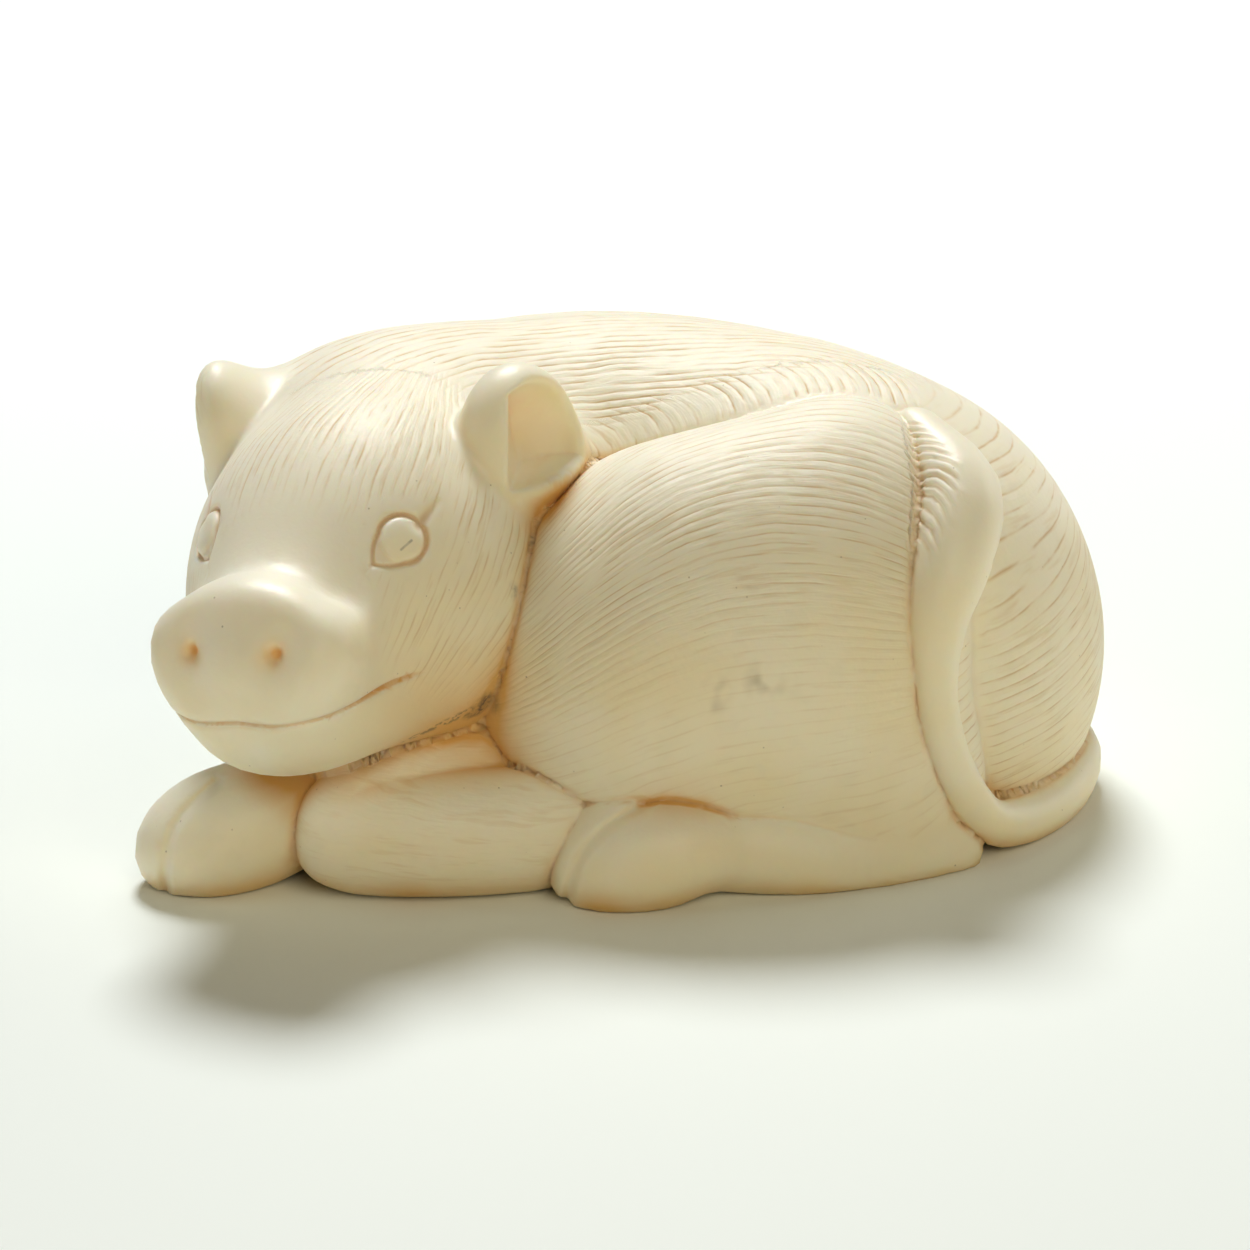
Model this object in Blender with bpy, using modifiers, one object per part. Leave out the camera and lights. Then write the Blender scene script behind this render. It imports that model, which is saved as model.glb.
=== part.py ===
# A small carved pig lying curled up, its head resting on its forelegs.
# The whole figure is cut from one piece, so it is built as one solid.
import math

import bmesh
import bpy
import numpy as np

# Driving sizes, in metres
BODY_LENGTH = 0.060  # along X, from the forward hoof to the rump
SEAT_WEAR = 0.0004  # how much the underside is rubbed flat where it stands
EAR_WALL = 0.0011  # thickness left round the hollow of an ear
NOSTRIL_RADIUS = 0.00045
NOSTRIL_DEPTH = 0.0011
MOUTH_WIDTH = 0.00035  # half-width of the line between the lips
MOUTH_DEPTH = 0.00045
EYE_RIM_WIDTH = 0.00024  # half-width of the cut round each eye
EYE_RIM_DEPTH = 0.00030
CLEFT_WIDTH = 0.00035  # half-width of the split in a hoof
CLEFT_DEPTH = 0.00055
CREASE_WIDTH = 0.00065  # the cut that sets one limb off from the next
CREASE_DEPTH = 0.00030

ROUGH_VOXEL = 0.00070
FINE_VOXEL = 0.00042
TRIANGLES = 9400

# The pose is written in units, 58.8 to the body length: x to the viewer's right,
# y away from the viewer, z up. STAND is the point of it that becomes the origin,
# in the middle of the underside.
UNIT = BODY_LENGTH / 58.8
STAND = (0.30, -1.60, SEAT_WEAR / UNIT)

IVORY = (0.80, 0.70, 0.50, 1.0)


def units(metres):
    return metres / UNIT


# Lumps: centre, half-axes, turn in degrees about x, y and z
NECK = ((-13.4, 3.0, 19.6), (11.6, 10.5, 9.0), (0, 0, 0))
TRUNK_PATH = [
    (-13.0, 3.0, 14.5, 11.5),
    (-7.0, 6.5, 14.2, 13.8),
    (0.0, 7.5, 13.7, 14.6),
    (8.0, 6.0, 13.2, 14.2),
    (13.5, 1.5, 12.6, 13.0),
]
RUMP = ((17.7, 1.0, 8.6), (11.8, 12.6, 13.6), (0, 2, -18))
LOIN = ((12.6, 0.0, 16.2), (12.0, 11.0, 10.0), (0, 18, -10))
NEAR_HAUNCH = ((5.0, -8.0, 11.4), (13.9, 10.8, 14.2), (0, 0, 0))
NEAR_BUTTOCK = ((13.4, -4.4, 12.0), (9.4, 10.0, 14.9), (0, 0, -12))
STIFLE = ((-0.4, -9.4, 10.8), (8.5, 8.2, 8.6), (0, 0, 0))
NEAR_HOCK = ((15.0, -8.4, 4.0), (6.4, 7.0, 7.0), (0, 0, -8))
FAR_HAUNCH = ((10.5, 11.6, 10.5), (11.5, 9.4, 12.6), (0, 0, 12))
SHOULDER = ((-12.5, 8.5, 11.0), (8.0, 8.0, 10.5), (0, 0, -20))
BELLY = ((2.0, 1.0, 6.0), (22.0, 14.0, 6.6), (0, 0, 0))

TAIL_PATH = [
    (17.4, -4.0, 24.2, 2.1),
    (19.7, -8.6, 22.4, 2.7),
    (19.2, -11.6, 19.6, 2.6),
    (18.2, -13.2, 16.6, 2.2),
    (18.1, -14.1, 13.2, 1.6),
    (18.6, -14.2, 9.6, 1.4),
    (20.0, -13.3, 5.6, 1.4),
    (22.0, -11.6, 2.6, 1.4),
    (24.6, -8.6, 1.7, 1.5),
    (27.0, -4.4, 1.8, 1.6),
    (28.3, 0.6, 2.4, 1.4),
    (27.6, 5.0, 3.2, 0.9),
]
NEAR_FOOT_PATH = [
    (19.3, -12.2, 1.2, 2.3),
    (16.0, -13.8, 1.2, 2.5),
    (12.0, -15.2, 1.7, 2.7),
    (8.0, -16.2, 2.8, 3.0),
    (4.4, -16.7, 3.3, 3.1),
    (2.0, -17.0, 3.2, 2.7),
]
NEAR_DEWCLAW = ((4.4, -15.8, 5.0), (3.6, 1.8, 1.5), (0, 8, 0))
HIND_TOES = [
    ((1.2, -18.5, 3.0), (5.4, 2.9, 3.3), (0, -16, 4)),
    ((-0.3, -16.9, 3.4), (4.9, 2.5, 3.2), (0, -20, 4)),
]
FOLDED_LEG_PATH = [
    (-7.0, -11.5, 6.2, 3.5),
    (-11.5, -13.2, 6.2, 3.5),
    (-15.2, -15.2, 4.8, 3.5),
    (-16.4, -16.4, 3.8, 3.4),
    (-12.5, -16.8, 3.9, 3.7),
    (-6.0, -15.8, 3.9, 3.8),
    (1.0, -12.8, 3.4, 3.2),
]
FORWARD_LEG_PATH = [
    (-14.0, -4.0, 7.0, 5.0),
    (-18.0, -10.5, 5.2, 4.4),
    (-20.8, -13.6, 4.2, 3.6),
    (-22.4, -14.8, 4.0, 3.0),
]
FORE_TOES = [
    ((-23.1, -15.8, 3.4), (4.7, 3.0, 3.2), (0, -14, 30)),
    ((-25.6, -14.9, 2.9), (3.8, 2.7, 3.1), (0, -22, 30)),
]
FAR_FOOT_PATH = [
    (18.0, 12.0, 4.0, 3.6),
    (10.0, 15.6, 3.2, 2.9),
    (2.0, 17.0, 3.2, 3.1),
    (-3.0, 17.2, 2.6, 2.4),
]

# The head is described round its own centre: forward to the snout, to the pig's
# side (the same on both sides) and up.
HEAD_CENTRE = (-15.0, -6.7, 17.5)
HEAD_TURN = (0.0, -6.0, -23.3)  # pitch, roll and yaw, degrees
SKULL = ((-1.0, 0.0, 0.4), (10.6, 10.0, 9.8), (0, 0, 0))
FOREHEAD = ((3.5, 0.0, 1.8), (7.0, 7.4, 6.4), (0, 0, 0))
CHEEK = ((0.5, 4.4, -3.4), (8.8, 6.0, 6.6), (0, 0, 0))
MUZZLE_PATH = [
    (2.0, 0.0, -0.4, 8.4),
    (8.0, 0.0, -1.2, 6.8),
    (12.0, 0.0, -1.4, 5.6),
    (15.0, 0.0, -1.2, 4.7),
]
SNOUT = ((16.6, 0.0, -0.2), (1.7, 6.0, 4.2), (0, -6, 0))
SNOUT_ROUNDING = 1.3
JAW = ((10.8, 0.0, -5.5), (6.9, 5.9, 3.5), (0, 4, 0))
EYE = (8.1, 6.1, 4.1)
EYE_ALONG = (-0.62, 0.60, 0.50)  # from its inner to its outer corner
EYE_HALF = (2.2, 1.25)
NOSTRIL = (18.4, 2.65, 0.4)
NEAR_EAR = ((-3.2, 9.1, 6.7), (3.1, 4.5, 5.0), (6, 0, 70))
FAR_EAR = ((-2.6, 9.8, 6.4), (2.2, 3.4, 5.0), (6, 14, 76))
EAR_HOLLOW_SHIFT = (0.7, 0.1, 0.04)  # share of the ear's half-axes


def turn_matrix(degrees):
    """Turns about x, then y, then z."""
    made = np.eye(3)
    for axis, angle in enumerate(degrees):
        c, s = math.cos(math.radians(angle)), math.sin(math.radians(angle))
        i, j = (axis + 1) % 3, (axis + 2) % 3
        turn = np.eye(3)
        turn[i, i], turn[i, j], turn[j, i], turn[j, j] = c, -s, s, c
        made = turn @ made
    return made


def ball(points, centre, half_axes, turn=(0, 0, 0)):
    """Distance to an ellipsoid, close to exact near its surface."""
    local = (points - centre) @ turn_matrix(turn)
    axes = np.array(half_axes)
    near = np.linalg.norm(local / axes, axis=1)
    steep = np.linalg.norm(local / axes**2, axis=1)
    return near * (near - 1.0) / np.maximum(steep, 1e-6)


def disc(points, centre, half_axes, rounding, turn=(0, 0, 0)):
    """Distance to an oval plate lying across x, its edge rounded over."""
    local = (points - centre) @ turn_matrix(turn)
    thick, wide, high = half_axes
    near = np.hypot(local[:, 1] / wide, local[:, 2] / high)
    steep = np.hypot(local[:, 1] / wide**2, local[:, 2] / high**2)
    outside = near * (near - 1.0) / np.maximum(steep, 1e-6) + rounding
    dome = 0.5 * np.minimum(near, 1.3) ** 2
    behind = np.abs(local[:, 0] + dome) - thick + rounding
    reach = np.hypot(np.maximum(outside, 0), np.maximum(behind, 0))
    return reach + np.minimum(np.maximum(outside, behind), 0) - rounding


def limb(points, path):
    """Distance to a round limb whose radius changes along its path."""
    best = np.full(len(points), 1e6)
    for start, end in zip(path, path[1:]):
        a, b = np.array(start[:3]), np.array(end[:3])
        along = b - a
        length = np.linalg.norm(along)
        taper = (start[3] - end[3]) / length
        run = (points - a) @ along / length
        off_axis = np.linalg.norm(points - a - run[:, None] * along / length, axis=1)
        lean = taper / math.sqrt(max(1.0 - taper * taper, 0.05))
        share = np.clip((run - off_axis * lean) / length, 0.0, 1.0)
        away = np.hypot(off_axis, run - share * length)
        best = np.minimum(best, away - start[3] + share * (start[3] - end[3]))
    return best


def smooth_path(path, steps=4):
    """The path with points added on a smooth curve through its own points."""
    knots = np.array(path, float)
    knots = np.vstack([2 * knots[0] - knots[1], knots, 2 * knots[-1] - knots[-2]])
    made = []
    for i in range(1, len(knots) - 2):
        p0, p1, p2, p3 = knots[i - 1 : i + 3]
        for step in range(steps):
            t = step / steps
            made.append(
                0.5
                * (
                    2 * p1
                    + (p2 - p0) * t
                    + (2 * p0 - 5 * p1 + 4 * p2 - p3) * t * t
                    + (3 * p1 - p0 - 3 * p2 + p3) * t**3
                )
            )
    made.append(knots[-2])
    return [tuple(p) for p in made]


def merge(a, b, blend):
    """Union of two distances with a fillet of about the blend's size."""
    near = np.maximum(blend - np.abs(a - b), 0.0) / blend
    return np.minimum(a, b) - near * near * blend / 4


def carve(a, b, blend):
    """Distance a with b cut away."""
    return -merge(-a, b, blend)


def set_off(a, b, width=None, depth=None):
    """Union of two limbs with a cut along the line where they meet."""
    width = units(CREASE_WIDTH) if width is None else width
    depth = units(CREASE_DEPTH) if depth is None else depth
    return merge(a, b, 0.3) + depth * np.exp(-(((a - b) / width) ** 2))


def head_axes():
    return np.array([[0, -1, 0], [1, 0, 0], [0, 0, 1]]) @ turn_matrix(HEAD_TURN).T


def in_head(points, folded=True):
    local = (points - np.array(HEAD_CENTRE)) @ head_axes().T
    if folded:
        local[:, 1] = np.abs(local[:, 1])
    return local


def ear_hollow(centre, half_axes, turn):
    wall = units(EAR_WALL)
    hollow_axes = (half_axes[0], half_axes[1] - wall, half_axes[2] - wall)
    shift = turn_matrix(turn) @ (np.array(EAR_HOLLOW_SHIFT) * half_axes)
    return centre + shift, hollow_axes, turn


def ear(local, *shape):
    """A cupped leaf whose hollow looks away from the head."""
    return carve(ball(local, *shape), ball(local, *ear_hollow(*shape)), 0.5)


def eye_cut(local):
    """How deep the figure is cut round the eye, less the swell of the eyeball."""
    out = np.array(EYE) / np.linalg.norm(EYE)
    along = np.array(EYE_ALONG) - np.dot(EYE_ALONG, out) * out
    along /= np.linalg.norm(along)
    away = local - EYE
    across = away @ np.cross(out, along)
    run = away @ along
    half_long, half_high = EYE_HALF
    lid = (half_long**2 + half_high**2) / (2 * half_high)
    rim = np.hypot(run, np.abs(across) + lid - half_high) - lid
    near = np.exp(-((away @ out) / 2.0) ** 2)
    cut = units(EYE_RIM_DEPTH) * np.exp(-((rim / units(EYE_RIM_WIDTH)) ** 2))
    ball_rise = 0.3 * np.clip(1.0 - (run**2 + across**2) / 1.25**2, 0.0, 1.0)
    return near * (cut - ball_rise)


def mouth_cut(local):
    side = np.minimum(local[:, 1], 6.4)
    line = -3.8 - 0.4 * np.sin(np.clip(side / 6.4, 0, 1) * math.pi) + 0.2 * (side / 6.4) ** 2
    width = units(MOUTH_WIDTH)
    fade = np.clip((local[:, 0] - 8.4) / 2.0, 0.0, 1.0)
    return units(MOUTH_DEPTH) * fade * np.exp(-(((local[:, 2] - line) / width) ** 2))


def nostril_cut(local):
    away = np.hypot(local[:, 1] - NOSTRIL[1], local[:, 2] - NOSTRIL[2])
    front = local[:, 0] > NOSTRIL[0] - 3.0
    return front * units(NOSTRIL_DEPTH) * np.exp(-((away / units(NOSTRIL_RADIUS)) ** 2))


def head(points):
    local = in_head(points)
    made = ball(local, *SKULL)
    made = merge(made, ball(local, *FOREHEAD), 4.0)
    made = merge(made, ball(local, *CHEEK), 4.0)
    made = merge(made, limb(local, smooth_path(MUZZLE_PATH, 3)), 4.0)
    made = merge(made, ball(local, *JAW), 3.0)
    made = merge(made, disc(local, SNOUT[0], SNOUT[1], SNOUT_ROUNDING, SNOUT[2]), 1.8)
    made = made + eye_cut(local) + mouth_cut(local) + nostril_cut(local)
    near = in_head(points, False)[:, 1] > 0
    return merge(made, np.where(near, ear(local, *NEAR_EAR), ear(local, *FAR_EAR)), 0.8)


def body(points):
    made = limb(points, smooth_path(TRUNK_PATH, 3))
    made = merge(made, ball(points, *NECK), 3.0)
    made = merge(made, ball(points, *RUMP), 5.0)
    made = merge(made, ball(points, *LOIN), 5.0)
    made = merge(made, ball(points, *SHOULDER), 4.0)
    return merge(made, ball(points, *BELLY), 3.0)


def haunch(points):
    made = merge(ball(points, *NEAR_HAUNCH), ball(points, *NEAR_BUTTOCK), 6.0)
    made = merge(made, ball(points, *STIFLE), 4.0)
    return merge(made, ball(points, *NEAR_HOCK), 4.0)


def near_leg(points):
    """Haunch and hind foot, creased where the foot turns forward."""
    foot = limb(points, smooth_path(NEAR_FOOT_PATH, 3))
    foot = merge(foot, ball(points, *NEAR_DEWCLAW), 0.5)
    toe = merge(foot, ball(points, *HIND_TOES[0]), 0.8)
    foot = set_off(toe, ball(points, *HIND_TOES[1]), units(CLEFT_WIDTH), units(CLEFT_DEPTH))
    thigh = haunch(points)
    crease = np.exp(-(((foot - thigh) / units(CREASE_WIDTH)) ** 2))
    fade = np.clip((15.0 - points[:, 0]) / 6.0, 0.0, 1.0)
    return merge(thigh, foot, 1.2) + units(CREASE_DEPTH) * 1.5 * fade * crease


def skin(points):
    """Signed distance to the whole figure, in units."""
    figure = merge(body(points), head(points), 4.0)
    figure = set_off(figure, ball(points, *FAR_HAUNCH))
    figure = set_off(figure, limb(points, smooth_path(FAR_FOOT_PATH, 2)))
    forelegs = merge(limb(points, smooth_path(FORWARD_LEG_PATH, 3)), ball(points, *FORE_TOES[0]), 1.2)
    forelegs = set_off(forelegs, ball(points, *FORE_TOES[1]), units(CLEFT_WIDTH), units(CLEFT_DEPTH))
    forelegs = set_off(forelegs, limb(points, smooth_path(FOLDED_LEG_PATH, 3)))
    figure = set_off(figure, forelegs)
    figure = set_off(figure, near_leg(points))
    figure = set_off(figure, limb(points, smooth_path(TAIL_PATH, 3)))
    return figure


def slope_of(points, here):
    slope = np.empty_like(points)
    for axis in range(3):
        moved = points.copy()
        moved[:, axis] += 0.02
        slope[:, axis] = (skin(moved) - here) / 0.02
    return slope


def settle_onto_skin(mesh, rounds, ease):
    """Evens the mesh out and moves it along the slope until it lies on the skin."""
    flat = np.empty(len(mesh.vertices) * 3)
    mesh.vertices.foreach_get("co", flat)
    points = flat.reshape(-1, 3) / UNIT
    ends = np.empty(len(mesh.edges) * 2, int)
    mesh.edges.foreach_get("vertices", ends)
    ends = ends.reshape(-1, 2)
    both = np.concatenate([ends, ends[:, ::-1]])
    shared = np.bincount(both[:, 0], minlength=len(points))[:, None]
    for _ in range(rounds):
        if ease:
            around = np.zeros_like(points)
            for axis in range(3):
                around[:, axis] = np.bincount(both[:, 0], points[both[:, 1], axis], len(points))
            points += ease * (around / shared - points)
        here = skin(points)
        slope = slope_of(points, here)
        steep = np.maximum((slope * slope).sum(axis=1), 0.3)
        points -= slope * (np.clip(here, -0.5, 0.5) / steep)[:, None]
    mesh.vertices.foreach_set("co", (points * UNIT).ravel())
    mesh.update()


def head_frame(side):
    return np.array(HEAD_CENTRE), head_axes() * np.array([[1], [side], [1]])


def add_ball(frame, centre, half_axes, turn=(0, 0, 0)):
    """One lump as a mesh ball, placed in a frame given by its origin and axes."""
    origin, axes = frame
    bpy.ops.mesh.primitive_uv_sphere_add(segments=24, ring_count=16, radius=1.0)
    made = bpy.context.object
    points = np.array([v.co for v in made.data.vertices]) * half_axes
    points = (points @ turn_matrix(turn).T + centre) @ axes + origin
    made.data.vertices.foreach_set("co", (points * UNIT).ravel())
    if np.linalg.det(axes) < 0:
        made.data.flip_normals()
    return made


def add_limb(frame, path):
    """A row of balls close enough together to close up as one limb."""
    return [add_ball(frame, knot[:3], (knot[3],) * 3) for knot in smooth_path(path, 4)]


def rough_figure():
    """Every lump as a ball or a row of balls, joined into one mesh."""
    ground = (np.zeros(3), np.eye(3))
    balls = [NECK, RUMP, LOIN, NEAR_HAUNCH, NEAR_BUTTOCK, STIFLE, NEAR_HOCK]
    balls += [FAR_HAUNCH, SHOULDER, BELLY, NEAR_DEWCLAW, *HIND_TOES, *FORE_TOES]
    limbs = [TRUNK_PATH, TAIL_PATH, NEAR_FOOT_PATH, FOLDED_LEG_PATH]
    limbs += [FORWARD_LEG_PATH, FAR_FOOT_PATH]
    made = [add_ball(ground, *shape) for shape in balls]
    for path in limbs:
        made += add_limb(ground, path)
    for side, ear_shape in ((1, NEAR_EAR), (-1, FAR_EAR)):
        frame = head_frame(side)
        made += [add_ball(frame, *shape) for shape in (SKULL, FOREHEAD, CHEEK, JAW, SNOUT, ear_shape)]
        made += add_limb(frame, MUZZLE_PATH)
    with bpy.context.temp_override(active_object=made[0], selected_editable_objects=made):
        bpy.ops.object.join()
    return made[0]


def hollow_ears(figure):
    for side, ear_shape in ((1, NEAR_EAR), (-1, FAR_EAR)):
        cutter = add_ball(head_frame(side), *ear_hollow(*ear_shape))
        cutter.hide_render = True
        cutter.display_type = "WIRE"
        settle(figure, "BOOLEAN", operation="DIFFERENCE", solver="EXACT", object=cutter)
        bpy.data.objects.remove(cutter)


def settle(figure, modifier_type, **settings):
    """Adds one modifier and makes its result the figure's own mesh."""
    modifier = figure.modifiers.new(modifier_type.title(), modifier_type)
    for name, value in settings.items():
        setattr(modifier, name, value)
    graph = bpy.context.evaluated_depsgraph_get()
    made = bpy.data.meshes.new_from_object(figure.evaluated_get(graph))
    figure.modifiers.clear()
    old = figure.data
    figure.data = made
    bpy.data.meshes.remove(old)


def flatten_seat(figure):
    """Rubs the underside flat and closes it again."""
    bm = bmesh.new()
    bm.from_mesh(figure.data)
    cut = bmesh.ops.bisect_plane(
        bm,
        geom=bm.verts[:] + bm.edges[:] + bm.faces[:],
        plane_co=(0, 0, SEAT_WEAR),
        plane_no=(0, 0, -1),
        clear_outer=True,
    )
    rim = [e for e in cut["geom_cut"] if isinstance(e, bmesh.types.BMEdge)]
    bmesh.ops.holes_fill(bm, edges=rim)
    bmesh.ops.triangulate(bm, faces=bm.faces)
    bmesh.ops.translate(bm, verts=bm.verts, vec=[-v * UNIT for v in STAND])
    bm.to_mesh(figure.data)
    bm.free()


def make_ivory():
    ivory = bpy.data.materials.new("ivory")
    ivory.use_nodes = True
    surface = ivory.node_tree.nodes["Principled BSDF"]
    surface.inputs["Base Color"].default_value = IVORY
    surface.inputs["Roughness"].default_value = 0.35
    surface.inputs["Metallic"].default_value = 0.0
    return ivory


def main():
    for each in list(bpy.data.objects):
        bpy.data.objects.remove(each)
    figure = rough_figure()
    settle(figure, "REMESH", mode="VOXEL", voxel_size=ROUGH_VOXEL)
    hollow_ears(figure)
    settle(figure, "REMESH", mode="VOXEL", voxel_size=ROUGH_VOXEL)
    settle_onto_skin(figure.data, 6, 0.5)
    settle(figure, "REMESH", mode="VOXEL", voxel_size=FINE_VOXEL)
    settle_onto_skin(figure.data, 4, 0.4)
    settle_onto_skin(figure.data, 1, 0.0)
    settle(figure, "DECIMATE", ratio=TRIANGLES / (len(figure.data.polygons) * 2))
    flatten_seat(figure)
    figure.name = figure.data.name = "reclining_pig"
    figure.data.shade_smooth()
    figure.data.materials.clear()
    figure.data.materials.append(make_ivory())
    carving = bpy.data.collections.new("reclining_pig_carving")
    bpy.context.scene.collection.children.link(carving)
    for holder in list(figure.users_collection):
        holder.objects.unlink(figure)
    carving.objects.link(figure)
    print("figure:", len(figure.data.polygons), "faces")


main()
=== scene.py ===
import math

import bpy
import numpy as np
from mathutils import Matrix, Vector
from mathutils.bvhtree import BVHTree


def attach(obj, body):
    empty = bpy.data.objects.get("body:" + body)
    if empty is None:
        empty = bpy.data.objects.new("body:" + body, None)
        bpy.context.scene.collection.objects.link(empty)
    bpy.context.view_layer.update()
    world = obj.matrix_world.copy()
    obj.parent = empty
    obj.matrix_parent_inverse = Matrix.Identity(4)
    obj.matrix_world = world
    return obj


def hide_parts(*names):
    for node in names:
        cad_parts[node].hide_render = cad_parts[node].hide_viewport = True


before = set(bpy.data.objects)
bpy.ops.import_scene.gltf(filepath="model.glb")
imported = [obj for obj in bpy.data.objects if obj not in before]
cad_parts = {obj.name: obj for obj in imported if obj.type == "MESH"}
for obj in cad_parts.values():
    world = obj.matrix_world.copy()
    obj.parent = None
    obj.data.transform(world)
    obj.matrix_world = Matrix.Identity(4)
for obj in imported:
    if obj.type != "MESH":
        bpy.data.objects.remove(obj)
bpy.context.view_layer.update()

# The pose is written in units, 58.8 to the body length: x to the viewer's right,
# y away from the viewer, z up. The stand is the point of it that is the origin.
pose = {
    "unit": 0.060 / 58.8,
    "stand": np.array((0.30, -1.60, 0.0004 * 58.8 / 0.060)),
    "seatRounding": 0.25,
}

# Lumps: centre, half-axes, turn in degrees about x, y and z. Paths: centre and radius of
# each knot. Blends: how far a lump or path melts into what stands before it, in their order.
bodyForm = {
    "neck": ((-13.4, 3.0, 19.6), (11.6, 10.5, 9.0), (0, 0, 0)),
    "rump": ((17.7, 1.0, 8.6), (11.8, 12.6, 13.6), (0, 2, -18)),
    "loin": ((12.6, 0.0, 16.2), (12.0, 11.0, 10.0), (0, 18, -10)),
    "shoulder": ((-12.5, 8.5, 11.0), (8.0, 8.0, 10.5), (0, 0, -20)),
    "belly": ((2.0, 1.0, 6.0), (22.0, 14.0, 6.6), (0, 0, 0)),
    "farHaunch": ((10.5, 11.6, 10.5), (11.5, 9.4, 12.6), (0, 0, 12)),
    "trunkPath": [
        (-13.0, 3.0, 14.5, 11.5), (-7.0, 6.5, 14.2, 13.8), (0.0, 7.5, 13.7, 14.6), (8.0, 6.0, 13.2, 14.2),
        (13.5, 1.5, 12.6, 13.0),
    ],
    "blends": {"neck": 3.0, "rump": 5.0, "loin": 5.0, "shoulder": 4.0, "belly": 3.0},
    "creaseWidth": 0.28,
    "creaseDepth": 0.12,
    "seamWidth": 0.10,  # the thin cut at the bottom of a crease
    "seamDepth": 0.06,
    "seamBlend": 0.3,
    "headBlend": 4.0,
}
haunchForm = {
    "thigh": ((5.0, -8.0, 11.4), (13.9, 10.8, 14.2), (0, 0, 0)),
    "buttock": ((13.4, -4.4, 12.0), (9.4, 10.0, 14.9), (0, 0, -12)),
    "stifle": ((-0.4, -9.4, 10.8), (8.5, 8.2, 8.6), (0, 0, 0)),
    "hock": ((15.0, -8.4, 4.0), (6.4, 7.0, 7.0), (0, 0, -8)),
    "blends": {"buttock": 6.0, "stifle": 4.0, "hock": 4.0},
}
footForm = {
    "nearHindPath": [
        (19.3, -12.2, 1.2, 2.3), (16.0, -13.8, 1.2, 2.5), (12.0, -15.2, 1.7, 2.7), (8.0, -16.2, 2.8, 2.8),
        (5.0, -16.6, 3.1, 2.65), (2.0, -17.0, 3.2, 2.5),
    ],
    "dewclaw": ((4.4, -15.8, 5.0), (3.6, 1.8, 1.5), (0, 8, 0)),
    "hindToe": ((1.2, -18.5, 3.0), (5.4, 2.9, 3.3), (0, -16, 4)),
    "innerHindToe": ((-0.3, -16.9, 3.4), (4.9, 2.5, 3.2), (0, -20, 4)),
    "hindBlends": {"dewclaw": 0.5, "hindToe": 1.2, "innerHindToe": 1.6},
    "hindCleft": [(1.6, -17.4, 6.4), (-1.2, -19.4, 5.4), (-2.9, -20.2, 3.4), (-3.4, -20.1, 1.0)],
    "foldedPath": [
        (-7.0, -11.5, 6.2, 3.5), (-11.5, -13.2, 6.2, 3.5), (-15.2, -15.2, 4.8, 3.5), (-16.4, -16.4, 3.8, 3.4),
        (-12.5, -16.8, 3.9, 3.7), (-6.0, -15.8, 3.9, 3.8), (1.0, -12.8, 3.4, 3.2),
    ],
    "forwardPath": [
        (-14.0, -4.0, 7.0, 5.0), (-18.0, -10.5, 5.2, 4.4), (-20.8, -13.6, 4.2, 3.6), (-22.4, -14.8, 4.0, 3.0),
    ],
    "foreToe": ((-23.1, -15.8, 3.4), (4.7, 3.0, 3.2), (0, -14, 30)),
    "outerForeToe": ((-25.6, -14.9, 2.9), (3.8, 2.7, 3.1), (0, -22, 30)),
    "foreBlends": {"foreToe": 2.4, "outerForeToe": 2.8},
    "foreCleft": [(-24.2, -15.7, 6.8), (-26.1, -16.3, 5.1), (-27.0, -17.2, 3.4), (-27.2, -17.4, 0.8)],
    "cleftFacing": (0.0, -0.94, 0.34),  # the way both near clefts look
    "farHindPath": [
        (18.0, 12.0, 4.0, 3.6), (10.0, 15.6, 3.2, 2.9), (2.0, 17.0, 3.2, 3.1), (-3.0, 17.2, 2.6, 2.4),
    ],
    "farBlends": {},
    "farCleft": [(1.0, 17.2, 5.6), (-2.2, 18.4, 4.6), (-4.4, 18.8, 3.0), (-5.1, 18.6, 0.8)],
    "cleftWidth": 0.34,
    "cleftDepth": 0.30,
    "heelBlend": 1.2,
    "heelCrease": 1.8,  # the foot's crease under the haunch, as a share of the others' depth
    "heelFade": (15.0, 6.0),  # where that crease has faded out, and over what length
}
tailForm = {
    "path": [
        (17.4, -4.0, 24.2, 2.1), (19.7, -8.6, 22.4, 2.7), (19.2, -11.6, 19.6, 2.6), (18.2, -13.2, 16.6, 2.2),
        (18.1, -14.1, 13.2, 1.6), (18.6, -14.2, 9.6, 1.4), (20.0, -13.3, 5.6, 1.4), (22.0, -11.6, 2.6, 1.4),
        (24.6, -8.6, 1.7, 1.5), (27.0, -4.4, 1.8, 1.6), (28.3, 0.6, 2.4, 1.4), (27.6, 5.0, 3.2, 0.9),
    ],
    "downTo": 7,  # the last knot of the part that hangs
    "inside": (10.0, 2.0, 8.0),  # a place within the rump, to tell the tail's edges apart
    "tuftSlant": 4.8,
    "tuftEnd": 12.5,  # how far down the tail the fringe reaches
}
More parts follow.
